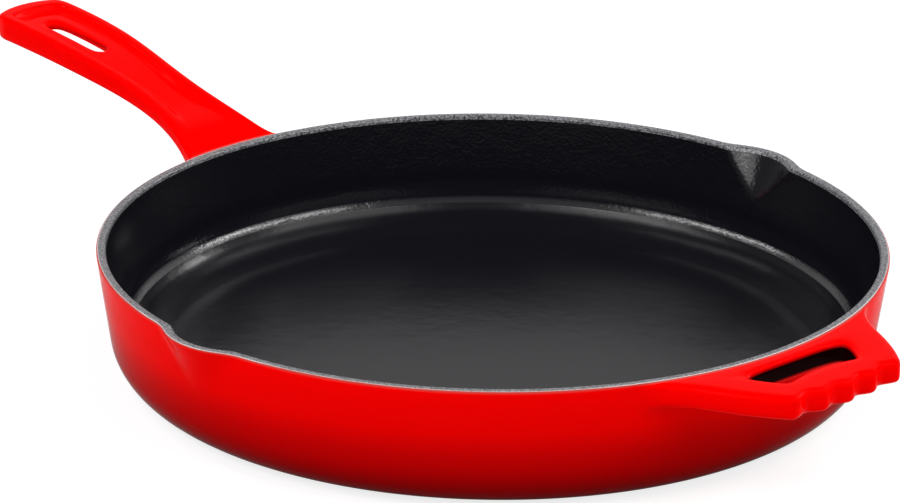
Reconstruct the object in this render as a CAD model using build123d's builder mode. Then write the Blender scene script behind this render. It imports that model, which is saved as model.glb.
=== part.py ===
"""Enamelled cast iron skillet, 12 inches across the rim, with two pouring spouts,
a long handle with a hanging slot and a helper handle opposite to it.

The origin is the centre of the flat base, +Z is up and +X points along the long handle.
The iron is one casting, split here face to face into the pan, the long handle and the
helper handle. The fused enamel coats lie on it as separate thin shells.
"""

from build123d import *
import os
from math import cos, pi, radians, sin, sqrt, tan

# --- Driving dimensions, in millimetres and degrees -------------------------------------

# Pan, measured on the finished enamel
rim_radius = 152.5
pan_height = 50.5
wall_draft = 8.25
base_corner_radius = 18.5
rim_width = 3.7
floor_thickness = 5.3
cavity_draft = 9.0

# The foot of the inner wall: a small cove, a crease and a large cove down to the floor
foot_cove_radius = 13.0
foot_cove_end = 56.0
floor_cove_radius = 22.0
floor_cove_start = 30.0

# Enamel coat on every face
enamel = 0.4

# Pouring spouts, one each side at right angles to the handles
spout_half_width = 19.0
spout_reach = 5.5
spout_depth = 17.5
spout_tip_radius = 10.0
spout_tip_sink = 0.4
spout_outer_blend = 6.0
spout_inner_blend = 4.0

# Long handle, its reaches measured outwards from the rim
handle_reach = 133.9
handle_end_bow = 6.0
handle_tip_corner = 7.6
handle_root_half_width = 25.0
handle_root_flare = 0.45
handle_waist_reach = 37.5
handle_waist_half_width = 14.1
handle_palm_reach = 77.5
handle_palm_half_width = 16.2
handle_grip_half_width = 17.2
handle_root_drop = 4.3
handle_root_slope = 0.64
handle_rise_at_waist = 13.4
handle_rise_at_tip = 27.1
handle_root_depth = 13.0
handle_root_gusset_slope = 1.0
handle_thickness_at_waist = 7.4
handle_thickness_at_tip = 10.3
handle_edge_radius = 2.6

# Dished channel along the top of the long handle, and the relief below the grip
dish_border = 4.6
dish_depth = 2.8
dish_reach = 15.5
relief_border = 5.4
relief_reach = 59.5
grip_web = 3.6

# Hanging slot
slot_reach = 95.5
slot_length = 39.0
slot_width = 8.0

# Helper handle
helper_reach = 36.1
helper_end_bow = 3.0
helper_end_half_width = 28.6
helper_root_half_width = 54.8
helper_root_flare = 26.0
helper_corner_radius = 4.0
helper_top_drop = 0.2
helper_thickness = 9.4
helper_edge_radius = 2.4
scallop_count = 5
scallop_pitch = 12.8
scallop_depth = 2.6

# Finger slot of the helper handle
finger_slot_gap = 6.0
finger_slot_reach = 22.0
finger_slot_bow = 4.0
finger_slot_inner_half = 28.5
finger_slot_outer_half = 18.5
finger_slot_corner = 3.2

# How far a handle's solid starts inside the pan, before the pan's outside trims it
root_depth = 6.0

# How far a tool body runs past the face that it cuts
overrun = 12.0

# Edges and corners are picked by their place to within this distance, and an edge whose
# direction has more than this upright part is left sharp
pick_reach = 0.1
upright = 0.8

# --- Values that follow from them -------------------------------------------------------

wall_lean = tan(radians(wall_draft))
cavity_lean = tan(radians(cavity_draft))
base_corner_reach = base_corner_radius * tan(radians(90 - wall_draft) / 2)
base_radius = rim_radius - pan_height * wall_lean - base_corner_reach
coat_plane = pan_height - enamel
handle_level = pan_height + handle_rise_at_tip
handle_root = rim_radius - root_depth
handle_waist = rim_radius + handle_waist_reach
handle_palm = rim_radius + handle_palm_reach
handle_tip = rim_radius + handle_reach
handle_end = handle_tip - handle_end_bow
dish_start = rim_radius + dish_reach
relief_start = rim_radius + relief_reach
slot_centre = rim_radius + slot_reach
helper_top = pan_height - helper_top_drop
helper_bottom = helper_top - helper_thickness
helper_end = rim_radius + helper_reach
helper_seat_radius = rim_radius - (pan_height - helper_bottom) * wall_lean - enamel
helper_span = helper_root_half_width + helper_root_flare

# The mouth of a spout is an arc through its two ends on the rim and its outermost point
spout_sagitta = rim_radius + spout_reach - sqrt(rim_radius**2 - spout_half_width**2)
spout_radius = (spout_half_width**2 + spout_sagitta**2) / (2 * spout_sagitta)
spout_centre = rim_radius + spout_reach - spout_radius


# --- Pan --------------------------------------------------------------------------------

def outside_of_pan(coat, top=pan_height):
    """All that lies within the outer surface of the pan, less a coat of this thickness."""
    shift = coat / cos(radians(wall_draft))
    corner = rim_radius - (pan_height - coat) * wall_lean - shift
    rim = rim_radius - shift
    with BuildPart() as body:
        with BuildSketch(Plane.XZ) as section:
            with BuildLine():
                Polyline((0, coat), (corner, coat), (rim, pan_height), (0, pan_height), close=True)
            make_face()
            foot = section.vertices().sort_by_distance((corner, coat, 0))[0]
            fillet(foot, base_corner_radius - coat)
        revolve(axis=Axis.Z)
        for side in (1, -1):
            add(spout_horn(side, rim_width + spout_tip_radius - coat, spout_radius - coat))
        fillet(spout_creases(body), spout_outer_blend + coat)
        split(bisect_by=Plane.XY.offset(pan_height), keep=Keep.BOTTOM)
        if top > pan_height:
            rim_face = body.faces().sort_by(Axis.Z)[-1]
            extrude(rim_face, amount=top - pan_height)
    return body.part


def spout_horn(side, tip_radius, mouth_radius):
    """An oblique cone, widest above the rim and closing towards a point down the wall."""
    rise = (spout_depth + overrun) / spout_depth
    tip_z = pan_height - spout_depth
    tip_wall = rim_radius - spout_depth * wall_lean - spout_tip_sink
    tip_y = tip_wall - (rim_width + spout_tip_radius)
    top_y = tip_y + (spout_centre - tip_y) * rise
    top_radius = tip_radius + (mouth_radius - tip_radius) * rise
    with BuildPart() as horn:
        with BuildSketch(Plane.XY.offset(tip_z)):
            with Locations((0, side * tip_y)):
                Circle(tip_radius)
        with BuildSketch(Plane.XY.offset(tip_z + spout_depth * rise)):
            with Locations((0, side * top_y)):
                Circle(top_radius)
        loft(ruled=True)
    return horn.part


def spout_creases(body):
    """The curved edge round each spout, where its horn leaves the wall."""
    tip_z = pan_height - spout_depth
    edges = body.edges().filter_by(lambda edge: edge.length > spout_depth)
    return edges.filter_by(lambda edge: tip_z < edge.bounding_box().min.Z < pan_height - pick_reach)


def cavity_of_pan(coat):
    """The space inside the pan, grown by a coat of this thickness and open past the rim."""
    floor = floor_thickness - coat
    low_radius = floor_cove_radius + coat
    high_radius = foot_cove_radius + coat
    low_turn = radians(floor_cove_start)
    high_turn = radians(foot_cove_end)
    lean = radians(cavity_draft)
    crease_z = floor + low_radius * (1 - sin(low_turn))
    wall_z = crease_z + high_radius * (sin(high_turn) - sin(lean))
    rim = rim_radius - rim_width + coat / cos(lean)
    wall_r = rim - (pan_height - wall_z) * cavity_lean
    crease_r = wall_r - high_radius * (cos(lean) - cos(high_turn))
    floor_r = crease_r - low_radius * cos(low_turn)
    high_centre = (wall_r - high_radius * cos(lean), wall_z + high_radius * sin(lean))
    with BuildPart() as space:
        with BuildSketch(Plane.XZ):
            with BuildLine():
                Line((0, floor), (floor_r, floor))
                CenterArc((floor_r, floor + low_radius), low_radius, -90, 90 - floor_cove_start)
                CenterArc(high_centre, high_radius, -foot_cove_end, foot_cove_end - cavity_draft)
                Polyline(
                    (wall_r, wall_z),
                    (rim + overrun * cavity_lean, pan_height + overrun),
                    (0, pan_height + overrun),
                    (0, floor),
                )
            make_face()
        revolve(axis=Axis.Z)
        for side in (1, -1):
            add(spout_horn(side, spout_tip_radius + coat, spout_radius - rim_width + coat))
        fillet(spout_creases(space), spout_inner_blend - coat)
        split(bisect_by=Plane.XY.offset(pan_height + overrun), keep=Keep.BOTTOM)
    return space.part


# --- Long handle ------------------------------------------------------------------------

def handle_plan(inset, start):
    """Outline of the long handle from above, drawn in by inset and cut off at start."""
    end_half = handle_grip_half_width - inset
    with BuildSketch() as plan:
        with BuildLine():
            edge = Spline(
                (handle_root, handle_root_half_width - inset),
                (handle_waist, handle_waist_half_width - inset),
                (handle_palm, handle_palm_half_width - inset),
                (handle_end, end_half),
                tangents=((1, -handle_root_flare), (1, 0)),
            )
            ThreePointArc((handle_end, end_half), (handle_tip - inset, 0), (handle_end, -end_half))
            mirror(edge, about=Plane.XZ)
            Line((handle_root, edge.position_at(0).Y), (handle_root, -edge.position_at(0).Y))
        make_face()
        end_reach = (handle_end - pick_reach, handle_end + pick_reach)
        corners = plan.vertices().filter_by_position(Axis.X, *end_reach)
        fillet(corners, handle_tip_corner - inset)
        with Locations((start, 0)):
            far = 2 * handle_tip
            Rectangle(far, far, align=(Align.MIN, Align.CENTER), mode=Mode.INTERSECT)
    return plan.sketch


def top_line(drop):
    """The crest of the long handle from the side, lowered by drop."""
    return Spline(
        (handle_root, pan_height - handle_root_drop - drop),
        (handle_waist, pan_height + handle_rise_at_waist - drop),
        (handle_tip, handle_level - drop),
        tangents=((1, handle_root_slope), (1, 0)),
    )


def bottom_line(lift):
    """The underside of the long handle from the side, raised by lift."""
    waist_z = pan_height + handle_rise_at_waist - handle_thickness_at_waist
    return Spline(
        (handle_root, pan_height - handle_root_depth + lift),
        (handle_waist, waist_z + lift),
        (handle_tip, handle_level - handle_thickness_at_tip + lift),
        tangents=((1, handle_root_gusset_slope), (1, 0)),
    )


def handle_blank(coat):
    """The long handle without its channel, relief and slot, less a coat of this thickness."""
    with BuildPart() as blank:
        add(handle_plan(coat, handle_root))
        extrude(amount=handle_level + overrun)
        with BuildSketch(Plane.XZ):
            with BuildLine():
                crest = top_line(coat)
                under = bottom_line(coat)
                Line(crest @ 1, under @ 1)
                Line(crest @ 0, under @ 0)
            make_face()
        extrude(amount=2 * handle_root_half_width, both=True, mode=Mode.INTERSECT)
        rims = blank.edges().filter_by(lambda edge: abs(edge.tangent_at(0.5).Z) < upright)
        rims = rims.filter_by(lambda edge: edge.center().X > handle_root + pick_reach)
        fillet(rims, handle_edge_radius - coat)
    return blank.part


def channel(inset, start, floor_line, floor_shift, mouth_line, mouth_shift):
    """A pocket tool: the handle's outline drawn in by inset, between two of its side lines."""
    with BuildPart() as pocket:
        add(handle_plan(inset, start))
        extrude(amount=handle_level + overrun)
        with BuildSketch(Plane.XZ):
            with BuildLine():
                floor = floor_line(floor_shift)
                mouth = mouth_line(mouth_shift)
                Line(floor @ 1, mouth @ 1)
                Line(floor @ 0, mouth @ 0)
            make_face()
        extrude(amount=2 * handle_root_half_width, both=True, mode=Mode.INTERSECT)
    return pocket.part


def long_handle(coat):
    """The long handle from inside the pan wall to its tip, less a coat of this thickness."""
    roof = dish_depth + grip_web - coat
    dish = channel(dish_border - coat, dish_start - coat, top_line, dish_depth + coat,
                   top_line, -overrun)
    relief = channel(relief_border - coat, relief_start - coat, top_line, roof,
                     bottom_line, -overrun)
    with BuildPart() as handle:
        add(handle_blank(coat))
        add(dish, mode=Mode.SUBTRACT)
        add(relief, mode=Mode.SUBTRACT)
        with BuildSketch():
            with Locations((slot_centre, 0)):
                SlotOverall(slot_length + 2 * coat, slot_width + 2 * coat)
        extrude(amount=handle_level + overrun, mode=Mode.SUBTRACT)
    return handle.part


# --- Helper handle ----------------------------------------------------------------------

def helper_plan(inset):
    """Outline of the helper handle from above: flanks that flare into the wall, a wavy grip."""
    end = helper_end - inset
    corner = helper_end_half_width - inset
    corner_x = end - helper_end_bow
    half_wave = 0.5 * scallop_pitch * (scallop_count - 1)
    # Four points to a scallop: lobe, flank, dip and flank
    wave = []
    for step in range(4 * scallop_count - 3):
        y = half_wave - 0.25 * scallop_pitch * step
        bow = helper_end_bow * (y / corner) ** 2
        dip = scallop_depth * (1 - cos(0.5 * pi * step)) / 2
        wave.append((bow + dip - end, y))
    lean_in = corner_x + wave[0][0]
    run_in = corner - half_wave
    wall_x = sqrt(rim_radius**2 - helper_root_half_width**2)
    flank_run = helper_end - helper_end_bow - wall_x
    flank_slope = (helper_root_half_width - helper_end_half_width) / flank_run
    root_x = wall_x - helper_root_flare
    root = corner + flank_slope * (corner_x - root_x)
    with BuildSketch() as plan:
        with BuildLine():
            grip = Spline(*wave, tangents=((lean_in, -run_in), (-lean_in, -run_in)))
            Polyline(grip @ 1, (-corner_x, -corner), (-root_x, -root), (0, -root), (0, root),
                     (-root_x, root), (-corner_x, corner), grip @ 0)
        make_face()
        corners = plan.vertices().filter_by(lambda v: abs(v.X + corner_x) < pick_reach)
        fillet(corners.filter_by(lambda v: abs(v.Y) > half_wave + pick_reach),
               helper_corner_radius - inset)
        Circle(helper_seat_radius - inset)
        mean_half_width = (helper_end_half_width + helper_root_half_width) / 2
        flares = plan.vertices().filter_by(lambda v: v.X < -root_x and abs(v.Y) > mean_half_width)
        fillet(flares, helper_root_flare + inset)
        Rectangle(helper_end, 2 * helper_span, align=(Align.MAX, Align.CENTER), mode=Mode.INTERSECT)
        Circle(rim_radius - root_depth, mode=Mode.SUBTRACT)
    return plan.sketch


def finger_slot(inset):
    """Outline of the slot between the pan wall and the grip, drawn in by inset."""
    inner_x = rim_radius + finger_slot_gap + inset
    outer_x = rim_radius + finger_slot_reach - inset
    inner_half = finger_slot_inner_half - inset
    outer_half = finger_slot_outer_half - inset
    with BuildSketch() as slot:
        with BuildLine():
            Polyline((-outer_x, outer_half), (-inner_x, inner_half),
                     (-inner_x, -inner_half), (-outer_x, -outer_half))
            ThreePointArc((-outer_x, -outer_half), (finger_slot_bow - outer_x, 0),
                          (-outer_x, outer_half))
        make_face()
        fillet(slot.vertices(), finger_slot_corner - inset)
    return slot.sketch


def out_from_axis(edge):
    """How far the middle of an edge lies from the axis of the pan."""
    middle = edge @ 0.5
    return sqrt(middle.X**2 + middle.Y**2)


def helper_handle(coat):
    """The helper handle from inside the pan wall outwards, less a coat of this thickness."""
    with BuildPart() as helper:
        with BuildSketch(Plane.XY.offset(helper_bottom + coat)):
            add(helper_plan(coat))
            add(finger_slot(-coat), mode=Mode.SUBTRACT)
        extrude(amount=helper_thickness - 2 * coat)
        root_radius = rim_radius - root_depth
        rims = helper.edges().filter_by(lambda edge: abs(edge.tangent_at(0.5).Z) < upright)
        rims = rims.filter_by(lambda edge: out_from_axis(edge) > root_radius + pick_reach)
        rims = rims.filter_by(lambda edge: abs((edge @ 0.5).Y) < helper_span - pick_reach)
        fillet(rims, helper_edge_radius - coat)
    return helper.part


# --- Whole shapes that the pieces are cut from ------------------------------------------

post_height = handle_level + overrun
coat_level = Plane.XY.offset(coat_plane)

finished_outside = outside_of_pan(0)
finished_cavity = cavity_of_pan(0)
finished_post = outside_of_pan(0, post_height)
iron_outside = outside_of_pan(enamel)
iron_cavity = cavity_of_pan(enamel)
iron_post = outside_of_pan(enamel, post_height)
finished_long_handle = long_handle(0)
iron_long_handle = long_handle(enamel)
finished_helper = helper_handle(0)
iron_helper = helper_handle(enamel)

os.makedirs("parts", exist_ok=True)


# --- The iron casting, in three pieces that meet face to face ---------------------------

with BuildPart() as pan_casting:
    add(iron_outside)
    add(iron_cavity, mode=Mode.SUBTRACT)
    split(bisect_by=coat_level, keep=Keep.BOTTOM)
pan_casting.part.label = "pan_casting"
export_step(pan_casting.part, "parts/pan_casting.step")

with BuildPart() as long_handle_casting:
    add(iron_long_handle)
    add(iron_post, mode=Mode.SUBTRACT)
long_handle_casting.part.label = "long_handle_casting"
export_step(long_handle_casting.part, "parts/long_handle_casting.step")

with BuildPart() as helper_handle_casting:
    add(iron_helper)
    add(iron_post, mode=Mode.SUBTRACT)
helper_handle_casting.part.label = "helper_handle_casting"
export_step(helper_handle_casting.part, "parts/helper_handle_casting.step")

# --- The enamel coats -------------------------------------------------------------------

# Satin black enamel over the floor, the coves, the wall and the spouts
with BuildPart() as interior_enamel:
    add(iron_cavity)
    add(finished_cavity, mode=Mode.SUBTRACT)
    split(bisect_by=coat_level, keep=Keep.BOTTOM)
interior_enamel.part.label = "interior_enamel"
export_step(interior_enamel.part, "parts/interior_enamel.step")

# Grey ground coat on the rim face, where the two colours stop
with BuildPart() as rim_ground_coat:
    add(finished_outside)
    add(finished_cavity, mode=Mode.SUBTRACT)
    split(bisect_by=coat_level, keep=Keep.TOP)
    add(iron_long_handle, mode=Mode.SUBTRACT)
rim_ground_coat.part.label = "rim_ground_coat"
export_step(rim_ground_coat.part, "parts/rim_ground_coat.step")

# The disc of enamel that the pan stands on
with BuildPart() as base_enamel:
    with BuildSketch():
        Circle(base_radius)
    extrude(amount=enamel)
base_enamel.part.label = "base_enamel"
export_step(base_enamel.part, "parts/base_enamel.step")

# Coloured enamel round the wall, open where the two handles grow out of it
with BuildPart() as wall_enamel:
    add(finished_outside)
    add(iron_outside, mode=Mode.SUBTRACT)
    with BuildSketch():
        Circle(base_radius)
    extrude(amount=enamel, mode=Mode.SUBTRACT)
    split(bisect_by=coat_level, keep=Keep.BOTTOM)
    add(iron_long_handle, mode=Mode.SUBTRACT)
    add(iron_helper, mode=Mode.SUBTRACT)
wall_enamel.part.label = "wall_enamel"
export_step(wall_enamel.part, "parts/wall_enamel.step")

# Coloured enamel round each handle, ending against the enamel of the wall
with BuildPart() as long_handle_enamel:
    add(finished_long_handle)
    add(iron_long_handle, mode=Mode.SUBTRACT)
    add(finished_post, mode=Mode.SUBTRACT)
long_handle_enamel.part.label = "long_handle_enamel"
export_step(long_handle_enamel.part, "parts/long_handle_enamel.step")

with BuildPart() as helper_handle_enamel:
    add(finished_helper)
    add(iron_helper, mode=Mode.SUBTRACT)
    add(finished_post, mode=Mode.SUBTRACT)
helper_handle_enamel.part.label = "helper_handle_enamel"
export_step(helper_handle_enamel.part, "parts/helper_handle_enamel.step")
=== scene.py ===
# %% [markdown]
# # Enamelled cast iron skillet
# The real pan is one iron casting. Powdered glass is fused over all of it: red outside, satin
# black inside, with the grainy grey ground coat left bare on the rim. So the looks are made as
# one continuous skin, turned on a lathe as the foundry's pattern was, with both handles pulled
# out of its wall, and only then parted where one enamel stops and the next begins.

from math import asin, cos, degrees, pi, radians, sin, sqrt, tan

import bmesh
import bpy
import numpy as np
from mathutils import Matrix, Vector


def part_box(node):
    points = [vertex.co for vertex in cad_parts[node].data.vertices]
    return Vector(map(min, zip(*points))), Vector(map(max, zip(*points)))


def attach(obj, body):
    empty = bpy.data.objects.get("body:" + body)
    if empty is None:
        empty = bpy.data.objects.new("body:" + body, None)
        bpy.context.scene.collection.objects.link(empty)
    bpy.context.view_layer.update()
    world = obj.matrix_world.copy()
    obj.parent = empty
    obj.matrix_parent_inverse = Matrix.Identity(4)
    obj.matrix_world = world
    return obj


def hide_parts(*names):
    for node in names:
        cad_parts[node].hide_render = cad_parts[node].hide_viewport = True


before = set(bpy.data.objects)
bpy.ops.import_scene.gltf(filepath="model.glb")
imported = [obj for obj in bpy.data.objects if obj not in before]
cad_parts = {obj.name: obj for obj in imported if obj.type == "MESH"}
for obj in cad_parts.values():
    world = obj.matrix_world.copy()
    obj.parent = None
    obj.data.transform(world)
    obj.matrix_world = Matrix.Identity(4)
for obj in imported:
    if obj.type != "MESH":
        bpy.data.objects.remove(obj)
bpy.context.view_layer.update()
bpy.ops.object.select_all(action="DESELECT")
MM = 0.001

# %% [markdown]
# The sizes that the frame holds are read from it. The few that it can't give, such as the draft
# of the wall and the radii of its foot, are the foundry's drawing sizes, in millimetres.

# %% Sizes
rim_low, rim_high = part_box("rim_ground_coat")
grip_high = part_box("long_handle_enamel")[1]
ear_low, ear_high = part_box("helper_handle_enamel")
RIM = -rim_low.x / MM
TOP = rim_high.z / MM
SPOUT_TIP = rim_high.y / MM
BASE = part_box("base_enamel")[1].x / MM
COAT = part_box("base_enamel")[1].z / MM
HANDLE_TIP = grip_high.x / MM
HANDLE_TOP = grip_high.z / MM
HELPER_TIP = -ear_low.x / MM
HELPER_TOP = ear_high.z / MM
HELPER_UNDER = ear_low.z / MM

RIM_WIDTH = 3.7
RIM_ROUND = 0.9
OUTER_DRAFT, INNER_DRAFT = 8.25, 9.0
WALL_LEAN, INNER_LEAN = tan(radians(OUTER_DRAFT)), tan(radians(INNER_DRAFT))
BASE_CORNER = 18.5
FLOOR = 5.3
FOOT_RADIUS, FOOT_START, FOOT_END = 13.0, INNER_DRAFT, 56.0
COVE_RADIUS, COVE_START = 22.0, 30.0
print("rim", RIM, "height", TOP, "base", BASE, "handle tip", HANDLE_TIP, "helper tip", HELPER_TIP)

# %% [markdown]
# The camera comes first, so that every later step can be looked at as it will be seen: a long
# lens, two metres away, a little over twenty degrees above the rim.

# %% Camera
CAMERA_DISTANCE = 2.161
CAMERA_ELEVATION = radians(20.54)
CAMERA_TURN = radians(133.96)
CAMERA_ROLL = radians(0.737)
CAMERA_PAN = radians(0.438)
CAMERA_TILT = radians(-0.084)

rim_centre = Vector((0, 0, TOP * MM))
back = Vector((-cos(CAMERA_ELEVATION) * sin(CAMERA_TURN),
               -cos(CAMERA_ELEVATION) * cos(CAMERA_TURN),
               sin(CAMERA_ELEVATION)))
across = Vector((0, 0, 1)).cross(back).normalized()
upward = back.cross(across)
aim = Matrix((across, upward, back)).transposed()
aim = aim @ Matrix.Rotation(CAMERA_ROLL, 3, "Z")
aim = aim @ Matrix.Rotation(CAMERA_PAN, 3, "Y")
aim = aim @ Matrix.Rotation(CAMERA_TILT, 3, "X")

bpy.ops.object.camera_add()
camera = bpy.context.object
camera.name = "view_camera"
camera.matrix_world = Matrix.Translation(rim_centre + back * CAMERA_DISTANCE) @ aim.to_4x4()
camera.data.lens = 224.6
camera.data.sensor_width = 36
camera.data.clip_end = 20
bpy.context.scene.camera = camera

# %% [markdown]
# ## The turned profile
# A pattern maker turns a round pan on a lathe from one profile. Ours starts at the middle of the
# base, runs out to the base corner, up the wall, over the rim, down the inner wall, through the
# small cove, the crease and the large cove, and back along the cooking floor.

# %% The true profile, as a fine line in the half plane of radius and height
def arc(centre, radius, start, end, steps):
    """Points along an arc, from angle start to angle end in degrees."""
    turns = [radians(start + (end - start) * i / steps) for i in range(steps + 1)]
    return [(centre[0] + radius * cos(a), centre[1] + radius * sin(a)) for a in turns]


def outer_wall(height):
    """Radius of the straight outer wall at a height."""
    return RIM - (TOP - height) * WALL_LEAN


def inner_wall(height):
    """Radius of the straight inner wall at a height."""
    return RIM - RIM_WIDTH - (TOP - height) * INNER_LEAN


crease_z = FLOOR + COVE_RADIUS * (1 - sin(radians(COVE_START)))
foot_top_z = crease_z + FOOT_RADIUS * (sin(radians(FOOT_END)) - sin(radians(FOOT_START)))
foot_top_r = inner_wall(foot_top_z)
foot_centre = (foot_top_r - FOOT_RADIUS * cos(radians(FOOT_START)),
               foot_top_z + FOOT_RADIUS * sin(radians(FOOT_START)))
crease_r = foot_centre[0] + FOOT_RADIUS * cos(radians(FOOT_END))
floor_r = crease_r - COVE_RADIUS * cos(radians(COVE_START))

true_profile = np.array(
    [(0, 0)]
    + arc((BASE, BASE_CORNER), BASE_CORNER, -90, -OUTER_DRAFT, 60)
    + arc((outer_wall(TOP) - RIM_ROUND, TOP - RIM_ROUND), RIM_ROUND, -OUTER_DRAFT, 90, 24)
    + arc((inner_wall(TOP) + RIM_ROUND, TOP - RIM_ROUND), RIM_ROUND, 90, 180 - INNER_DRAFT, 24)
    + arc(foot_centre, FOOT_RADIUS, -FOOT_START, -FOOT_END, 40)
    + arc((floor_r, FLOOR + COVE_RADIUS), COVE_RADIUS, -COVE_START, -90, 50)
    + [(0, FLOOR)])
print("crease at", round(crease_r, 1), round(crease_z, 1), "floor to", round(floor_r, 1))

# %% [markdown]
# The cage that is spun has far fewer points than the true profile: the Subdivision Surface rounds
# it, and its points are then set on the true profile. It has a row where each handle starts and
# ends on the wall, and close rows at the rim, so that the edges there stay tight.

# %% The cage profile, drawn by extruding one point along it
BASE_RINGS, FLOOR_RINGS = (0, 60, 105, BASE - 5), (110, 75, 35, 0)
WALL_ROWS, INNER_ROWS = (23.0, 30.0, 36.0), (TOP - 0.9, 45.0, 38.0, 31.0)
PATCH_ROWS = (39.8, 44.9, 50.0)
EDGE_HOLD = 1.3

cage_profile = (
    [(r, 0) for r in BASE_RINGS]
    + arc((BASE, BASE_CORNER), BASE_CORNER, -90, -OUTER_DRAFT, 4)
    + [(outer_wall(z), z) for z in WALL_ROWS + PATCH_ROWS]
    + [(RIM, TOP), (RIM - EDGE_HOLD, TOP)]
    + [(inner_wall(TOP) + EDGE_HOLD, TOP), (inner_wall(TOP), TOP)]
    + [(inner_wall(z), z) for z in INNER_ROWS]
    + arc(foot_centre, FOOT_RADIUS, -FOOT_START, -FOOT_END, 3)
    + arc((floor_r, FLOOR + COVE_RADIUS), COVE_RADIUS, -COVE_START, -90, 4)[1:]
    + [(r, FLOOR) for r in FLOOR_RINGS])

bpy.ops.mesh.primitive_plane_add(size=10 * MM, location=(0, 0, 0))
skin = bpy.context.object
skin.name = "skin"
bpy.ops.object.mode_set(mode="EDIT")
bpy.ops.mesh.merge(type="CENTER")
for (r0, z0), (r1, z1) in zip(cage_profile, cage_profile[1:]):
    step = ((r1 - r0) * MM, 0, (z1 - z0) * MM)
    bpy.ops.mesh.extrude_region_move(TRANSFORM_OT_translate={"value": step})
print("profile points", len(cage_profile))

# %% [markdown]
# The profile is spun in uneven steps. The columns are close together where a handle will leave
# the wall, because each becomes an edge along that handle, and at the spouts, whose mouths turn
# sharply. Elsewhere they are wide apart, because a round wall needs few.

# %% Spin the profile once round
LONG_COLUMNS = (0, 4.6, 7.2, 11.6, 15.0, 17.4, 20.6, 23.8)
HELPER_HALF = 58.5
HELPER_COLUMNS = tuple(HELPER_HALF * i / 9 for i in range(10))
BESIDE_LONG, BESIDE_HELPER = (28.5, 35.0), (74.0, 65.0)
SPOUT_STEP, WIDEST_STEP = 2.2, 5.4
patch_radius = outer_wall(PATCH_ROWS[1])


def turn(width):
    """The angle in degrees at which the wall is this far off the line of the handles."""
    return degrees(asin(width / patch_radius))


anchors = [turn(y) for y in LONG_COLUMNS + BESIDE_LONG]
anchors += [90 + SPOUT_STEP * i for i in range(-6, 7)]
anchors += [180 - turn(y) for y in BESIDE_HELPER + HELPER_COLUMNS[::-1]]
half_turn = [anchors[0]]
for angle in anchors[1:]:
    parts = max(1, round((angle - half_turn[-1]) / WIDEST_STEP))
    start = half_turn[-1]
    half_turn += [start + (angle - start) * i / parts for i in range(1, parts + 1)]
full_turn = half_turn + [360 - a for a in half_turn[-2::-1]]

bpy.ops.mesh.select_all(action="SELECT")
for before, after in zip(full_turn, full_turn[1:]):
    bpy.ops.mesh.spin(steps=1, angle=radians(after - before), center=(0, 0, 0), axis=(0, 0, 1))
bpy.ops.mesh.select_all(action="SELECT")
bpy.ops.mesh.remove_doubles(threshold=0.01 * MM)
bpy.ops.mesh.normals_make_consistent(inside=False)
bpy.ops.object.mode_set(mode="OBJECT")
print("columns", len(full_turn) - 1, "vertices", len(skin.data.vertices))

# %% [markdown]
# The skin is painted while it is still a plain cage: base, outside, rim and inside. Every face
# that is later pulled out or subdivided keeps its paint, so that the skin can be parted by it.

# %% Paint the cage
# Each paint ends at this strip of the profile: base at the corner, outside and rim at the edges.
PAINTS = {"base": 4, "outside": 15, "rim": 19, "inside": len(cage_profile)}
strips = (np.array(cage_profile[1:]) + np.array(cage_profile[:-1])) / 2
for paint in PAINTS:
    skin.data.materials.append(bpy.data.materials.new(paint))
for face in skin.data.polygons:
    corners = [skin.data.vertices[i].co / MM for i in face.vertices]
    radius = sum(sqrt(c.x ** 2 + c.y ** 2) for c in corners) / len(corners)
    height = sum(c.z for c in corners) / len(corners)
    strip = int(np.hypot(*(strips - (radius, height)).T).argmin())
    face.material_index = sum(strip >= end for end in PAINTS.values())
for number, paint in enumerate(PAINTS):
    print(paint, sum(f.material_index == number for f in skin.data.polygons), "faces")

# The middle of a slot's wall gets painted shade, and the attribute made here holds how much, up to
# 1.
skin.data.attributes.new("slot_shade", "FLOAT", "POINT")

# %% [markdown]
# ## The handles
# Each handle is pulled out of its patch of the wall as a modeller pulls an arm out of a body: the
# patch is extruded to a station, and its points are settled on the outline drawn for that
# station. The outlines of the long handle come from three clamped curves, each through the
# root, the waist and the tip.

# %% Curves of the long handle
def drawn_curve(knots, start_slope, end_slope):
    """Height over x of the smooth curve through a few (x, y) knots, with given end slopes."""
    knots = np.array(knots, float)
    step = np.linalg.norm(np.diff(knots, axis=0), axis=1)
    chord = np.diff(knots, axis=0) / step[:, None]
    count = len(knots)
    rows = np.eye(count)
    speed = np.zeros((count, 2))
    for end, near, far, slope in ((0, 0, 1, start_slope), (-1, -1, -2, end_slope)):
        bend = (chord[far] - chord[near]) * step[near] / (step[near] + step[far])
        pace = np.linalg.norm(chord[near] - bend)
        speed[end] = np.array((1, slope)) * pace / sqrt(1 + slope ** 2)
    for i in range(1, count - 1):
        rows[i, i - 1:i + 2] = 1 / step[i - 1], 2 / step[i - 1] + 2 / step[i], 1 / step[i]
        speed[i] = 3 * (chord[i - 1] / step[i - 1] + chord[i] / step[i])
    speed = np.linalg.solve(rows, speed)
    t = np.linspace(0, 1, 60)[:, None]
    line = np.vstack([
        (1 + 2 * t) * (1 - t) ** 2 * knots[i] + t * (1 - t) ** 2 * step[i] * speed[i]
        + t * t * (3 - 2 * t) * knots[i + 1] + t * t * (t - 1) * step[i] * speed[i + 1]
        for i in range(count - 1)])
    return lambda x: float(np.interp(x, line[:, 0], line[:, 1]))


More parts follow.
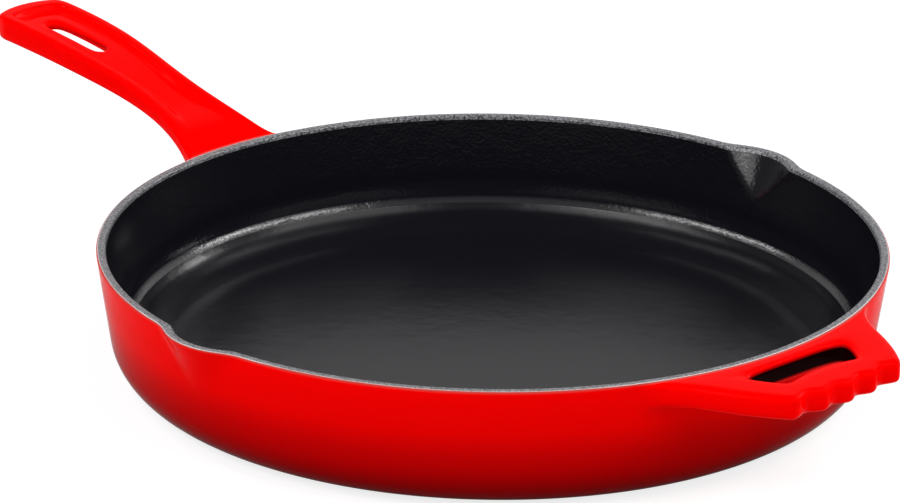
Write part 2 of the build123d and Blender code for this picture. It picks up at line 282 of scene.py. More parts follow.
ROOT = RIM - 6.0
WAIST, PALM = RIM + 37.5, RIM + 77.5
END_BOW = 6.0
GRIP_HALF = 17.2
crest = drawn_curve([(ROOT, TOP - 4.3), (WAIST, TOP + 13.4), (HANDLE_TIP, HANDLE_TOP)], 0.64, 0)
under = drawn_curve([(ROOT, TOP - 13), (WAIST, TOP + 6.0), (HANDLE_TIP, HANDLE_TOP - 10.3)], 1.0, 0)
flank = drawn_curve([(ROOT, 25.0), (WAIST, 14.1), (PALM, 16.2), (HANDLE_TIP - END_BOW, GRIP_HALF)],
                    -0.45, 0)
for x in (150, 170, 190, 210, 230, 250, 270):
    print("long handle at", x, [round(curve(x), 1) for curve in (crest, under, flank)])

# %% [markdown]
# A station is a place along the handle where its section is drawn. Across the top the section
# runs from the middle through the edge of the hanging slot, the floor of the dish, its soft
# wall and the border to the outer edge. Underneath it is the same, with a shallow relief below
# the grip. The dish fades in behind the root, because the pattern maker's tool left no step.

# %% Draw the sections of the long handle
SLOT_START, SLOT_END, SLOT_HALF = RIM + 78.5, RIM + 115.0, 4.0
DISH_DEPTH, WEB = 2.8, 3.6
DISH_START, DISH_FULL, DISH_END = RIM + 13.0, RIM + 33.0, HANDLE_TIP - 8.0
RELIEF_START, RELIEF_FULL = RIM + 59.0, RIM + 69.0
ROOT_BLEND = (RIM + 41, RIM + 69)
SLOT_CLOSE, SLOT_ROUND = 0.66, 1.6
TIP_HALF, TIP_BOW, TIP_TAPER = 15.3, 4.3, 4.4
# How far in from the flank each place from the dish's floor outward lies, above and underneath.
TOP_INSETS = (0, 0, 0, 7.8, 5.9, 5.1, 2.3, 0)
UNDER_INSETS = (0, 0, 0, 8.6, 6.8, 6.0, 2.7, 0)


def ease(low, high, x):
    """0 below low, 1 above high, and a smooth rise between them."""
    t = min(max((x - low) / (high - low), 0), 1)
    return t * t * (3 - 2 * t)


def long_handle_point(x, column, row):
    """Where the drawing puts a point of the long handle: columns -7 to 7, rows 0, 1 and 2."""
    side = -1 if column < 0 else 1
    place = abs(column)
    half = flank(min(x, HANDLE_TIP - END_BOW))
    half -= (GRIP_HALF - TIP_HALF) * ease(HANDLE_TIP - TIP_TAPER, HANDLE_TIP, x)
    in_floor = row == 2 and place <= 4 and x < DISH_END
    in_relief = row == 0 and place <= 4 and x < DISH_END
    insets = TOP_INSETS if row else UNDER_INSETS
    offset = (0, SLOT_HALF - 0.15, SLOT_HALF + 1.8)[place] if place < 3 else half - insets[place]
    at_root = 1 - ease(*ROOT_BLEND, x)
    if place in (1, 2):
        offset *= 1 - 0.4 * at_root
    elif place in (3, 4) and row == 2:
        offset -= 2.2 * at_root
    if place == 1 and x in (SLOT_START, SLOT_END):
        offset = SLOT_CLOSE * SLOT_HALF
        x += SLOT_ROUND if x == SLOT_START else -SLOT_ROUND
    bow = TIP_BOW * ease(SLOT_END - 5, HANDLE_TIP, x) * (offset / TIP_HALF) ** 2
    top, bottom = crest(x), under(x)
    if row == 0 and abs(x - DISH_END) < 1.5:
        x -= 1.0
    if row == 1:
        height = (top + bottom) / 2
    elif row == 2:
        height = top
        if in_floor:
            height -= DISH_DEPTH * ease(DISH_START, DISH_FULL, x)
    else:
        height = bottom
        if in_relief:
            roof = top - DISH_DEPTH - WEB
            height += (roof - bottom) * ease(RELIEF_START, RELIEF_FULL, x)
    return Vector((x - bow, side * offset, height))


LONG_STATIONS = (
    [RIM + d for d in (3.6, 8.0, 13.0, 19.0, 26.0, 33.0, 41.0, 49.0, 57.0, 63.0, 69.0)]
    + [SLOT_START - 2.6, SLOT_START, SLOT_START + 4.0, RIM + 88, RIM + 95.5, RIM + 103]
    + [SLOT_END - 4.0, SLOT_END, SLOT_END + 2.6, SLOT_END + 7.5]
    + [DISH_END - 0.9, DISH_END + 0.1, DISH_END + 2.2, HANDLE_TIP - 2.6, HANDLE_TIP])
print("stations", len(LONG_STATIONS))


# %% Pull a handle out of its patch, station by station
LAYERS = ("column", "row", "station")


def grid_layers(mesh):
    """The layers that hold each point's column, row and station on its handle."""
    return [mesh.verts.layers.int.get(name) or mesh.verts.layers.int.new(name) for name in LAYERS]


def pull_out(piece, in_patch, columns, rows, stations, place):
    """Extrudes the patch once for each station and settles its points on the drawing."""
    bpy.ops.object.mode_set(mode="EDIT")
    bpy.ops.mesh.select_all(action="DESELECT")
    mesh = bmesh.from_edit_mesh(piece.data)
    grid_layers(mesh)  # makes the layers; a new layer makes the older ones stale
    column_of, row_of, _ = grid_layers(mesh)
    for face in mesh.faces:
        if in_patch(face.calc_center_median() / MM):
            face.select_set(True)
    for point in (v for v in mesh.verts if v.select):
        number = min(range(len(columns)), key=lambda i: abs(columns[i] - abs(point.co.y) / MM))
        point[column_of] = number if point.co.y > 0 else -number
        point[row_of] = min(range(len(rows)), key=lambda i: abs(rows[i] - point.co.z / MM))
    faces = sum(f.select for f in mesh.faces)
    bmesh.update_edit_mesh(piece.data)
    for number, station in enumerate(stations):
        bpy.ops.mesh.extrude_region_move(TRANSFORM_OT_translate={"value": (0, 0, MM)})
        mesh = bmesh.from_edit_mesh(piece.data)
        column_of, row_of, station_of = grid_layers(mesh)
        for point in (v for v in mesh.verts if v.select):
            point.co = place(station, point[column_of], point[row_of]) * MM
            point[station_of] = number + 1
        bmesh.update_edit_mesh(piece.data)
    bpy.ops.object.mode_set(mode="OBJECT")
    print("patch faces", faces, "vertices now", len(piece.data.vertices))


def cut_slot(piece, side, first, last, reach, slot_shade_strength):
    """Takes a slot's faces out of top and underside, and bridges the two openings.

    The last argument is how much painted shade the middle of the slot's wall gets: 0 none, 1 full.
    """
    bpy.ops.object.mode_set(mode="EDIT")
    bpy.ops.mesh.select_all(action="DESELECT")
    bpy.ops.mesh.select_mode(type="FACE")
    mesh = bmesh.from_edit_mesh(piece.data)
    column_of, row_of, station_of = grid_layers(mesh)
    for face in mesh.faces:
        inside = all(first <= v[station_of] <= last and abs(v[column_of]) <= reach
                     for v in face.verts)
        flat = len({v[row_of] for v in face.verts}) == 1
        if inside and flat and side * face.calc_center_median().x > 0:
            face.select_set(True)
    print("slot faces", sum(f.select for f in mesh.faces))
    bmesh.update_edit_mesh(piece.data)
    bpy.ops.mesh.delete(type="FACE")
    bpy.ops.mesh.select_mode(type="EDGE")
    bpy.ops.mesh.select_all(action="DESELECT")
    bpy.ops.mesh.select_non_manifold()
    bpy.ops.mesh.bridge_edge_loops(number_cuts=1)
    mesh = bmesh.from_edit_mesh(piece.data)
    # Painted shade goes on the points halfway down the slot's wall.
    depth = mesh.verts.layers.float["slot_shade"]
    middle = [v for v in mesh.verts if v.select and all(f.select for f in v.link_faces)]
    for point in middle:
        point[depth] = slot_shade_strength
    print("points halfway down the slot", len(middle))
    bmesh.update_edit_mesh(piece.data)
    bpy.ops.mesh.select_mode(type="VERT")
    bpy.ops.object.mode_set(mode="OBJECT")


# %% [markdown]
# The long handle leaves the wall at its patch and is cast in one with it, so it is pulled out of
# the same skin. The hanging slot is a cored hole, and part of its wall gets painted shade.

# %% Pull out the long handle and cut its hanging slot
def on_outer_wall(centre):
    """Whether a face centre lies on the outer wall, in the rows where the handles start."""
    radius = sqrt(centre.x ** 2 + centre.y ** 2)
    return PATCH_ROWS[0] < centre.z < PATCH_ROWS[2] and abs(radius - outer_wall(centre.z)) < 1.5


def in_long_patch(centre):
    """Whether a face centre lies on the wall where the long handle starts."""
    return centre.x > 0 and abs(centre.y) < LONG_COLUMNS[-1] and on_outer_wall(centre)


pull_out(skin, in_long_patch, LONG_COLUMNS, PATCH_ROWS, LONG_STATIONS, long_handle_point)
# The middle of the hanging slot's wall gets a quarter of the full painted shade.
cut_slot(skin, 1, LONG_STATIONS.index(SLOT_START) + 1, LONG_STATIONS.index(SLOT_END) + 1,
         reach=1, slot_shade_strength=0.25)

# %% [markdown]
# The helper handle is a flat ear. Its flanks flare into the wall, its outer edge has five soft
# lobes for the fingers, and a slot as wide as four fingers leaves a narrow web beside the rim.
# Subdivision flattens a wave, so the lobes are drawn half as deep again as they come out.

# %% Draw the sections of the helper handle
GRIP_END_BOW, LOBE_PITCH, LOBE_DEPTH = 3.0, 12.8, 2.6
FINGER_IN, FINGER_OUT, FINGER_BOW = RIM + 6.0, RIM + 22.0, 4.0
FINGER_IN_HALF, FINGER_OUT_HALF, INSIDE_BOW = 28.5, 18.5, 2.2
EAR_HALF, EAR_FLARE, EAR_BULGE = 28.6, 0.605, 2.2
LAST, CORNER = 9, 6
HELPER_STATIONS = ("web", "slot inside", "slot middle", "slot outside",
                   "grip", "grip edge", "end")


def ear_end(y, depth):
    """How far out the lobed edge lies at this distance from the middle."""
    bow = GRIP_END_BOW * (y / EAR_HALF) ** 2
    wave = LOBE_DEPTH * (0.5 - 0.5 * depth * cos(2 * pi * y / LOBE_PITCH))
    return HELPER_TIP - bow - wave


def ear_flank(x):
    """Half width of the straight flank at this distance from the pan's axis."""
    bulge = EAR_BULGE * sin(pi * min(max((x - RIM - 3) / (HELPER_TIP - RIM - 3), 0), 1))
    return EAR_HALF + (HELPER_TIP - GRIP_END_BOW - x) * EAR_FLARE + bulge


def helper_point(station, column, row):
    """Where the drawing puts a point of the helper handle: columns -9 to 9, rows 0, 1 and 2."""
    side = -1 if column < 0 else 1
    place = abs(column)
    # Each station has a corner, beside the slot, and a point on the flank: (x, y) and (x, y).
    corner_x, corner_y, flank_x, flank_y = {
        "web": (RIM + 1.0, 33.2, RIM - 5.5, 52.4),
        "slot inside": (FINGER_IN + INSIDE_BOW, FINGER_IN_HALF - 2.9,
                        RIM + 3.2, ear_flank(RIM + 3.2) + 0.2),
        "slot middle": (RIM + 14.0, 23.5, RIM + 12.5, ear_flank(RIM + 12.5)),
        "slot outside": (FINGER_OUT - 0.7, FINGER_OUT_HALF,
                         RIM + 21.5, ear_flank(RIM + 21.5)),
        "grip": (RIM + 28.0, 19.0, RIM + 27.5, ear_flank(RIM + 27.5)),
        "grip edge": (0, 19.2, RIM + 31.6, 30.6),
        "end": (0, 19.2, RIM + 34.0, 28.2)}[station]
    if place <= CORNER:
        y = corner_y * place / CORNER
        near = (y / corner_y) ** 2
        x = corner_x
        if station == "slot inside":
            x = FINGER_IN + INSIDE_BOW * near ** 3
        if station == "web":
            x = (RIM + 3.0) - 2.0 * near
        elif station == "slot outside":
            x -= FINGER_BOW * (1 - near)
        elif station == "slot middle":
            x -= 1.5 * (1 - near)
    else:
        part = (place - CORNER) / (LAST - CORNER)
        y = corner_y + (flank_y - corner_y) * part
        x = corner_x + (flank_x - corner_x) * part
    if station == "grip":
        x = RIM + 26.5 + 1.0 * (y / flank_y) ** 2
    elif station in ("grip edge", "end") and place < LAST:
        y = LOBE_PITCH / 4 * place
        x = ear_end(y, 1.5) if station == "end" else ear_end(y, 0.9) - 4.0
    height = (HELPER_UNDER, (HELPER_UNDER + HELPER_TOP) / 2, HELPER_TOP)[row]
    return Vector((-x, side * y, height))


# %% Pull out the helper handle and cut its finger slot
def in_helper_patch(centre):
    """Whether a face centre lies on the wall where the helper handle starts."""
    return centre.x < 0 and abs(centre.y) < HELPER_HALF and on_outer_wall(centre)


pull_out(skin, in_helper_patch, HELPER_COLUMNS, PATCH_ROWS, HELPER_STATIONS, helper_point)
# The middle of the finger slot's wall gets the full painted shade.
cut_slot(skin, -1, HELPER_STATIONS.index("slot inside") + 1,
         HELPER_STATIONS.index("slot outside") + 1, reach=CORNER, slot_shade_strength=1)

# %% [markdown]
# ## Smooth, true and part the skin
# Subdivision turns the cage into one smooth skin. It leaves the round wall a hair too small
# between columns, so every point that isn't on a handle is set on the true profile, as the
# lathe would leave it. Then the spouts are pressed out of the rim.

# %% Subdivide the skin and keep the crease inside the pan sharp
bpy.ops.object.mode_set(mode="EDIT")
bpy.ops.mesh.select_all(action="DESELECT")
mesh = bmesh.from_edit_mesh(skin.data)
for edge in mesh.edges:
    ends = [(sqrt(v.co.x ** 2 + v.co.y ** 2) / MM, v.co.z / MM) for v in edge.verts]
    if all(abs(r - crease_r) < 0.2 and abs(z - crease_z) < 0.2 for r, z in ends):
        edge.select_set(True)
bmesh.update_edit_mesh(skin.data)
bpy.ops.transform.edge_crease(value=1)
bpy.ops.mesh.mark_sharp()
bpy.ops.mesh.select_all(action="SELECT")
bpy.ops.mesh.normals_make_consistent(inside=False)
bpy.ops.object.mode_set(mode="OBJECT")
for name in LAYERS:
    skin.data.attributes.remove(skin.data.attributes[name])
smoother = skin.modifiers.new("smooth", "SUBSURF")
smoother.levels = smoother.render_levels = 2
bpy.ops.object.modifier_apply(modifier=smoother.name)
print("smooth skin", len(skin.data.polygons), "faces")


# %% [markdown]
# A lathe leaves a truly round wall, so the smooth skin is set on the fine profile. The points of
# the handles stay where they are, and the change between the two is spread over some millimetres.

# %% Set the turned surfaces on the true profile
def ramp(low, high, values):
    """ease() over a whole array."""
    t = np.clip((values - low) / (high - low), 0, 1)
    return t * t * (3 - 2 * t)


points = np.zeros(len(skin.data.vertices) * 3)
skin.data.vertices.foreach_get("co", points)
points = points.reshape(-1, 3) / MM
radius = np.hypot(points[:, 0], points[:, 1])
around = np.arctan2(points[:, 1], points[:, 0])
here = np.stack((radius, points[:, 2]), axis=1)
nearest = np.full(len(here), 1e9)
target = here.copy()
for start, end in zip(true_profile, true_profile[1:]):
    span = end - start
    along = np.clip((here - start) @ span / (span @ span), 0, 1)
    foot = start + along[:, None] * span
    gap = np.linalg.norm(here - foot, axis=1)
    closer = gap < nearest
    nearest[closer] = gap[closer]
    target[closer] = foot[closer]

offset = np.abs(points[:, 1])
long_half = LONG_COLUMNS[-1]
beside_long = np.maximum(ramp(long_half + 2, long_half + 7, offset), points[:, 0] < 0)
beside_helper = np.maximum(ramp(HELPER_HALF + 2, HELPER_HALF + 9, offset), points[:, 0] > 0)
below = 1 - ramp(PATCH_ROWS[0] - 4.5, PATCH_ROWS[0] - 1.5, points[:, 2])
turned = np.maximum(np.minimum(beside_long, beside_helper), below)
turned[radius < inner_wall(points[:, 2]) + RIM_WIDTH / 2] = 1
turned[(points[:, 2] > TOP - 0.3) & (radius < RIM - RIM_ROUND)] = 1
here += (target - here) * turned[:, None]
print("largest move onto the true profile", round(float((nearest * turned).max()), 2), "mm")

# %% [markdown]
# A pouring spout is pressed out of the rim like a small funnel: round in plan, widest at the top
# and dying out down the wall. The wall and the funnel are joined by a smooth union, which rounds
# the two creases where the lip of the spout turns back into the rim.

# %% Press out the two spouts
SPOUT_HALF, SPOUT_DEPTH, SPOUT_FOOT, SPOUT_SINK = 19.0, 17.5, 10.0, 0.4
OUTER_BLEND, INNER_BLEND = 3.0, 0.9
spout_rise = SPOUT_TIP - sqrt(RIM ** 2 - SPOUT_HALF ** 2)
spout_radius = (SPOUT_HALF ** 2 + spout_rise ** 2) / (2 * spout_rise)
spout_foot_z = TOP - SPOUT_DEPTH
spout_foot_y = outer_wall(spout_foot_z) - SPOUT_SINK - RIM_WIDTH - SPOUT_FOOT


def spout_push(angle, height, wall, thicker, blend):
    """How far a spout moves the wall out, for points at these angles from the spout's middle."""
    part = (height - spout_foot_z) / SPOUT_DEPTH
    centre = spout_foot_y + (SPOUT_TIP - spout_radius - spout_foot_y) * part
    size = SPOUT_FOOT + thicker + (spout_radius - RIM_WIDTH - SPOUT_FOOT) * part
    size = np.maximum(size, 0.1)
    reach = wall.copy()
    for _ in range(12):
        from_wall = reach - wall
        across = reach ** 2 - 2 * reach * centre * np.cos(angle) + centre ** 2
        from_funnel = np.sqrt(np.maximum(across, 0)) - size
        near = np.maximum(blend - np.abs(from_wall - from_funnel), 0) / blend
        reach = reach - (np.minimum(from_wall, from_funnel) - near * near * blend / 4)
    return reach - wall


from_spout = np.abs(np.abs(around) - pi / 2)
radius, height = here.T
outside = spout_push(from_spout, height, outer_wall(height), RIM_WIDTH, OUTER_BLEND)
inside = spout_push(from_spout, height, inner_wall(height), 0.0, INNER_BLEND)
share = np.clip((radius - inner_wall(height)) / RIM_WIDTH, 0, 1)
push = inside + (outside - inside) * share
push[(height < TOP - SPOUT_DEPTH - 6) | (from_spout > 0.35)] = 0
radius = radius + push
points = np.stack((radius * np.cos(around), radius * np.sin(around), height), axis=1)
skin.data.vertices.foreach_set("co", (points * MM).ravel())
skin.data.update()
print("spouts reach", round(float(points[:, 1].max()), 2))

# A painted highlight runs along the outer edge of the rim. The attribute made here is 1 within
# 0.3 mm of that edge and 0 from 0.9 mm on. There the red and the grey are painted paler.
RIM_HIGHLIGHT_FULL, RIM_HIGHLIGHT_GONE = 0.3, 0.9
from_rim = np.hypot(radius - RIM - outside * (push > 0), height - TOP)
rim_highlight = skin.data.attributes.new("rim_highlight", "FLOAT", "POINT")
rim_highlight.data.foreach_set("value", 1 - ramp(RIM_HIGHLIGHT_FULL, RIM_HIGHLIGHT_GONE, from_rim))

# %% [markdown]
# The skin is now parted where one enamel stops and the next begins. Each part gets the coat's
# real thickness on its inner side, so that it is a closed shell on the iron.

# %% Part the skin by its paint and thicken each coat
COATS = {"base": "red_base_enamel", "outside": "red_outer_enamel",
         "rim": "grey_rim_coat", "inside": "black_inner_enamel"}
bpy.ops.object.select_all(action="DESELECT")
skin.select_set(True)
bpy.context.view_layer.objects.active = skin
bpy.ops.object.mode_set(mode="EDIT")
bpy.ops.mesh.select_all(action="SELECT")
bpy.ops.mesh.separate(type="MATERIAL")
bpy.ops.object.mode_set(mode="OBJECT")
coats = {}
for piece in list(bpy.context.selected_objects):
    paint = piece.data.materials[0].name
    piece.name = piece.data.name = COATS[paint]
    coats[paint] = piece
    bpy.context.view_layer.objects.active = piece
    wall = piece.modifiers.new("coat", "SOLIDIFY")
    wall.thickness = COAT * MM
    wall.offset = -1
    bpy.ops.object.modifier_apply(modifier=wall.name)
    print(piece.name, len(piece.data.polygons), "faces")
bpy.ops.object.shade_smooth_by_angle(angle=radians(45))

# %% [markdown]
# ## Materials
# Vitreous enamel is glass. The red gloss coat flows out almost smooth, with a faint orange peel.
# The black coat inside is fired matt and keeps a fine pebbled skin. The ground coat on the rim is
# thin, grainy and grey.

# %% Helpers for materials
def colour(code):
    """The linear colour of an sRGB hex code."""
    parts = [int(code[i:i + 2], 16) / 255 for i in (1, 3, 5)]
    return [c / 12.92 if c <= 0.04045 else ((c + 0.055) / 1.055) ** 2.4 for c in parts] + [1]


def add(material, kind, sockets=(), **settings):
    """Adds a node with its settings; sockets gives each input a value or another node's output."""
    tree = material.node_tree
    node = tree.nodes.new("ShaderNode" + kind)
    for name, value in settings.items():
        setattr(node, name, value)
    for name, value in dict(sockets).items():
        if isinstance(value, bpy.types.NodeSocket):
            tree.links.new(value, node.inputs[name])
        else:
            node.inputs[name].default_value = value
    return node


def new_material(name):
    """A material with its Principled shader and the Object coordinates that its patterns follow."""
    material = bpy.data.materials.new(name)
    material.use_nodes = True
    place = add(material, "TexCoord").outputs["Object"]
    return material, material.node_tree.nodes["Principled BSDF"], place


def per_metre(size):
    """The texture scale of a pattern whose features are this many millimetres wide."""
    return 1 / (size * MM)


def blend_through(material, factor, stops):
    """Colour from a ramp through (place, colour) stops, the first and the last at its ends."""
    node = add(material, "ValToRGB", {"Fac": factor})
    ends = list(node.color_ramp.elements)
    for end, (place, tint) in zip(ends, (stops[0], stops[-1])):
        end.position, end.color = place, tint
    for place, tint in stops[1:-1]:
        node.color_ramp.elements.new(place).color = tint
    return node.outputs["Color"]


# %% [markdown]
# The red deepens toward the foot of the wall. That is painted shade, so its colour follows the
# height. Along the edge of the rim the red is paler, which is a painted highlight, and inside the
# slots it is nearly black, which is painted shade.

# %% Red gloss vitreous enamel
# Stops of (share of the wall's height, colour), from the foot to the lip. The darker reds below the
# lip are painted shade.
FOOT_SHADED_REDS = ((0, "#5C0003"), (0.12, "#7C0003"), (0.3, "#A60002"),
        (0.5, "#CA0001"), (0.72, "#F20000"), (1, "#FF0000"))


def red_vitreous_enamel():
    """Sprayed and fired glass: red with painted shade that deepens toward the foot, and a faint
    orange peel.
    """
    material, shader, place = new_material("red_vitreous_enamel")
    link = material.node_tree.links.new
    pools = add(material, "TexNoise", {"Vector": place, "Scale": per_metre(70), "Detail": 2.0})
    height = add(material, "SeparateXYZ", {"Vector": place}).outputs["Z"]
    # Painted shade: the red ramps darker from the lip down to the foot of the wall.
    foot_shade_height = add(material, "MapRange", {"Value": height, "From Max": (TOP - 5) * MM})
    depth = blend_through(material, foot_shade_height.outputs["Result"],
                          [(share, colour(code)) for share, code in FOOT_SHADED_REDS])
    pooled = add(material, "MapRange", {"Value": pools.outputs["Fac"], "To Max": 0.12})
    tone = add(material, "MixRGB", {"Fac": pooled.outputs["Result"], "Color1": depth,
                                    "Color2": colour("#B00000")})
    # Painted highlight: the red turns pale pink along the outer edge of the rim.
    rim_highlight = add(material, "Attribute", attribute_name="rim_highlight")
    rim_highlight_red = add(material, "MixRGB", {"Fac": rim_highlight.outputs["Fac"], "Color1": tone.outputs["Color"],
                                    "Color2": colour("#B84A44")})
    # Painted shade: the middle of each slot's wall goes nearly black.
    slot_shade_input = add(material, "Attribute", attribute_name="slot_shade")
    slot_shade_share = add(material, "MapRange", {"Value": slot_shade_input.outputs["Fac"],
                                      "From Min": 0.03, "From Max": 0.45})
    dark = add(material, "MixRGB", {"Fac": slot_shade_share.outputs["Result"], "Color1": rim_highlight_red.outputs["Color"],
                                    "Color2": colour("#120102")})
    link(dark.outputs["Color"], shader.inputs["Base Color"])
    peel = add(material, "TexNoise", {"Vector": place, "Scale": per_metre(5), "Detail": 2.0})
    bump = add(material, "Bump", {"Height": peel.outputs["Fac"], "Strength": 0.12,
                                  "Distance": 0.2 * MM})
    link(bump.outputs["Normal"], shader.inputs["Normal"])
    shader.inputs["Roughness"].default_value = 0.1
    shader.inputs["Specular IOR Level"].default_value = 0.01
    return material


# %% [markdown]
# The black coat is fired matt. Its wall is pebbled and its floor smoother. Sprayed glass that runs
# down the wall could gather at the crease and fire glossy there, so the gloss follows the height
# and is strongest in a narrow ring just above the crease. That ring is a guess at the finish.

# %% Black satin vitreous enamel
# Stops of (height, specular level), from the underside of the coat up to the rim.
GLOSS = ((0, 0.3), (FLOOR + 0.1, 0.3), (FLOOR + 1.2, 0.05),
         (crease_z - 3.2, 0.05), (crease_z - 1.8, 0.2), (crease_z - 0.2, 0.22),
         (crease_z + 0.2, 0.9), (crease_z + 1.3, 0.7), (crease_z + 2.2, 0.01),
         (crease_z + 9.0, 0.04), (TOP - 19, 0.3), (TOP, 0.3))


def black_satin_enamel():
    """Matt black glass: nearly no colour, a soft sheen, and pebbles about a millimetre wide."""
    material, shader, place = new_material("black_satin_enamel")
    link = material.node_tree.links.new
    height = add(material, "SeparateXYZ", {"Vector": place}).outputs["Z"]
    wall = add(material, "MapRange", {"Value": height, "From Min": (crease_z - 0.5) * MM,
                                      "From Max": (crease_z + 1.5) * MM, "To Min": 0.2})
    pebbles = add(material, "TexNoise", {"Vector": place, "Scale": per_metre(1.3), "Detail": 1.5})
    raised = add(material, "Math", {0: pebbles.outputs["Fac"], 1: wall.outputs["Result"]},
                 operation="MULTIPLY")
    flow = add(material, "TexNoise", {"Vector": place, "Scale": per_metre(9), "Detail": 3.0})
    fine = add(material, "Bump", {"Height": raised.outputs[0], "Strength": 1.0,
                                  "Distance": 0.12 * MM})
    both = add(material, "Bump", {"Height": flow.outputs["Fac"], "Strength": 0.6,
                                  "Distance": 0.3 * MM, "Normal": fine.outputs["Normal"]})
    link(both.outputs["Normal"], shader.inputs["Normal"])
    matt = add(material, "MapRange", {"Value": wall.outputs["Result"], "From Min": 0.2,
                                      "To Min": 0.25, "To Max": 0.16})
    link(matt.outputs["Result"], shader.inputs["Roughness"])
    shader.inputs["Base Color"].default_value = colour("#100F14")
    climb = add(material, "MapRange", {"Value": height, "From Max": TOP * MM})
    gloss = blend_through(material, climb.outputs["Result"],
                          [(z / TOP, (share, share, share, 1)) for z, share in GLOSS])
    link(gloss, shader.inputs["Specular IOR Level"])
    return material


# %% [markdown]
# The ground coat is the first thin layer, which bonds the glass to the iron. It stays bare on the
# rim, because a thick coat would chip there. It is full of grains, so it is made from fine noise.

# %% Grey ground coat
def grey_ground_coat():
    """The fine first coat, alone on the rim: grey glass of dark and light grains, with a painted
    highlight on its edge.
    """
    material, shader, place = new_material("grey_ground_coat")
    link = material.node_tree.links.new
    grains = add(material, "TexNoise", {"Vector": place, "Scale": per_metre(0.9), "Detail": 3.0})
    tone = blend_through(material, grains.outputs["Fac"],
                         [(0.38, colour("#1E1E22")), (0.62, colour("#8C8C90"))])
    # Painted highlight: the grey turns nearly white along the outer edge of the rim.
    rim_highlight = add(material, "Attribute", attribute_name="rim_highlight")
    rim_highlight_grey = add(material, "MixRGB", {"Fac": rim_highlight.outputs["Fac"], "Color1": tone,
                                    "Color2": colour("#E6DEDE")})
    link(rim_highlight_grey.outputs["Color"], shader.inputs["Base Color"])
    bump = add(material, "Bump", {"Height": grains.outputs["Fac"], "Strength": 0.5,
                                  "Distance": 0.15 * MM})
    link(bump.outputs["Normal"], shader.inputs["Normal"])
    shader.inputs["Roughness"].default_value = 0.3
    return material


# %% [markdown]
# The iron itself is hidden under the coats. It gets the dull grain of a sand casting all the same,
# for whoever takes the coats off.

# %% Cast iron
def sand_cast_iron():
    """Grey iron as it leaves the sand: dark, dull and finely grained. The enamel covers it."""
    material, shader, place = new_material("sand_cast_iron")
    link = material.node_tree.links.new
    sand = add(material, "TexNoise", {"Vector": place, "Scale": per_metre(0.6), "Detail": 4.0})
    tone = add(material, "MixRGB", {"Fac": sand.outputs["Fac"], "Color1": colour("#2E2D2C"),
                                    "Color2": colour("#57534F")})
    link(tone.outputs["Color"], shader.inputs["Base Color"])
    bump = add(material, "Bump", {"Height": sand.outputs["Fac"], "Strength": 0.6,
                                  "Distance": 0.2 * MM})
    link(bump.outputs["Normal"], shader.inputs["Normal"])
    shader.inputs["Metallic"].default_value = 0.7
    shader.inputs["Roughness"].default_value = 0.6
    return material


# %% [markdown]
# One red coat runs over wall, handles and base, and so one material serves them all. The castings
# of the frame stay where they are and only take the iron's finish.

# %% Give every piece its finish and its body, and hide the nodes that it stands for
red = red_vitreous_enamel()
FINISHES = {
    "base": (red, "red_enamel", ["base_enamel"]),
    "outside": (red, "red_enamel", ["wall_enamel", "long_handle_enamel", "helper_handle_enamel"]),
    "rim": (grey_ground_coat(), "ground_coat", ["rim_ground_coat"]),
    "inside": (black_satin_enamel(), "black_enamel", ["interior_enamel"])}
for paint, (finish, slot, nodes) in FINISHES.items():
    coats[paint].data.materials[0] = finish
    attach(coats[paint], "root")
    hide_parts(*nodes)
    print(coats[paint].name, "stands for", ", ".join(nodes))
iron = sand_cast_iron()
for node in ("pan_casting", "long_handle_casting", "helper_handle_casting"):
    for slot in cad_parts[node].material_slots:
        slot.material = iron

# %% [markdown]
# ## Stage and light
# A plain pale floor and an even surround, both white to the camera. Light Path keeps that white
# off the pan, which the floor's and the world's own weaker light reaches. What gloss mirrors is
# only a tenth of the way to white, which keeps a pale veil off the red at its grazing edges.

# %% Floor and world
GLOSS_SHARE = 0.1


def rays_that_see_white(holder):
    """1 for what the camera and clear things see, and a share for what gloss mirrors."""
    rays = add(holder, "LightPath").outputs
    mirrored = add(holder, "Math", {0: rays["Is Glossy Ray"], 1: GLOSS_SHARE},
                   operation="MULTIPLY")
    seen = add(holder, "Math", {0: rays["Is Camera Ray"], 1: mirrored.outputs[0]},
               operation="ADD")
    return add(holder, "Math", {0: seen.outputs[0], 1: rays["Is Transmission Ray"]},
               operation="ADD")


FLOOR_SIZE, FLOOR_GAP = 9, 0.05
bpy.ops.mesh.primitive_plane_add(size=FLOOR_SIZE, location=(0, 0, -FLOOR_GAP * MM))
floor = bpy.context.object
floor.name = "floor"
paper, shader, _ = new_material("white_paper")
seen = rays_that_see_white(paper)
tone = add(paper, "MixRGB", {"Fac": seen.outputs[0], "Color1": colour("#C8C8C8"),
                             "Color2": colour("#8E8E8E")})
glow = add(paper, "MapRange", {"Value": seen.outputs[0], "To Max": 0.8})
paper.node_tree.links.new(tone.outputs["Color"], shader.inputs["Base Color"])
paper.node_tree.links.new(glow.outputs["Result"], shader.inputs["Emission Strength"])
shader.inputs["Emission Color"].default_value = (1, 1, 1, 1)
shader.inputs["Roughness"].default_value = 0.9
shader.inputs["Specular IOR Level"].default_value = 0.1
floor.data.materials.append(paper)

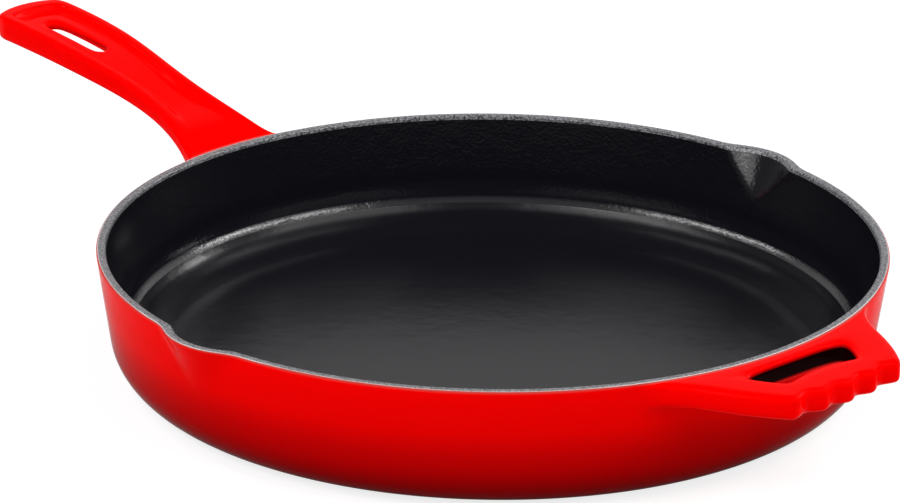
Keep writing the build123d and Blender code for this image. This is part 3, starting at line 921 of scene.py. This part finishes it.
world = bpy.data.worlds.new("pale_surround")
bpy.context.scene.world = world
world.use_nodes = True
surround = world.node_tree.nodes["Background"]
surround.inputs["Color"].default_value = (1, 1, 1, 1)
white = rays_that_see_white(world)
strength = add(world, "MapRange", {"Value": white.outputs[0], "To Min": 0.2})
world.node_tree.links.new(strength.outputs["Result"], surround.inputs["Strength"])
bpy.context.scene.view_settings.view_transform = "Standard"
print("floor", FLOOR_SIZE, "m wide; gloss mirrors", GLOSS_SHARE, "of the white")


# %% [markdown]
# Two large fills light the whole pan from both sides of the camera. Two narrow boxes and two
# tilted strips draw the bright lines along the crease, a small box lights the mouth of the far
# spout, and a wide box behind the pan lays the sheen on its floor.

# %% Soft boxes
def soft_box(name, left_turn, elevation, distance, size, light, roll=0):
    """A lamp that looks at the rim's centre; light is what it gives a face turned to it.

    left_turn is its angle to the left of the camera, in degrees, and roll tilts its long side.
    """
    turned_to = CAMERA_TURN + radians(left_turn)
    level = radians(elevation)
    toward = Vector((-cos(level) * sin(turned_to), -cos(level) * cos(turned_to), sin(level)))
    bpy.ops.object.light_add(type="AREA")
    lamp = bpy.context.object
    lamp.name = name
    lamp.data.shape = "RECTANGLE"
    lamp.data.size, lamp.data.size_y = size
    lamp.data.energy = light * pi * pi * distance ** 2
    lamp.matrix_world = (Matrix.Translation(rim_centre + toward * distance)
                         @ toward.to_track_quat("Z", "Y").to_matrix().to_4x4()
                         @ Matrix.Rotation(radians(roll), 4, "Z"))
    print(name, "power", round(lamp.data.energy, 1), "W")


soft_box("left_box", 62, 43, 2.0, (1.6, 0.22), 0.20)
soft_box("right_box", -106, 42, 2.0, (1.6, 0.22), 0.12)
soft_box("left_strip", 110, 51, 2.0, (1.3, 0.16), 0.16, 50)
soft_box("right_strip", -110, 51, 2.0, (1.3, 0.16), 0.16, -50)
soft_box("scoop_box", -120, 24, 2.0, (0.3, 0.3), 0.18)
soft_box("left_fill", 45, 40, 2.6, (2.0, 1.6), 0.50)
soft_box("right_fill", -60, 40, 2.6, (2.0, 1.6), 0.50)
soft_box("back_box", 180, 27, 2.6, (5.0, 1.5), 0.12)
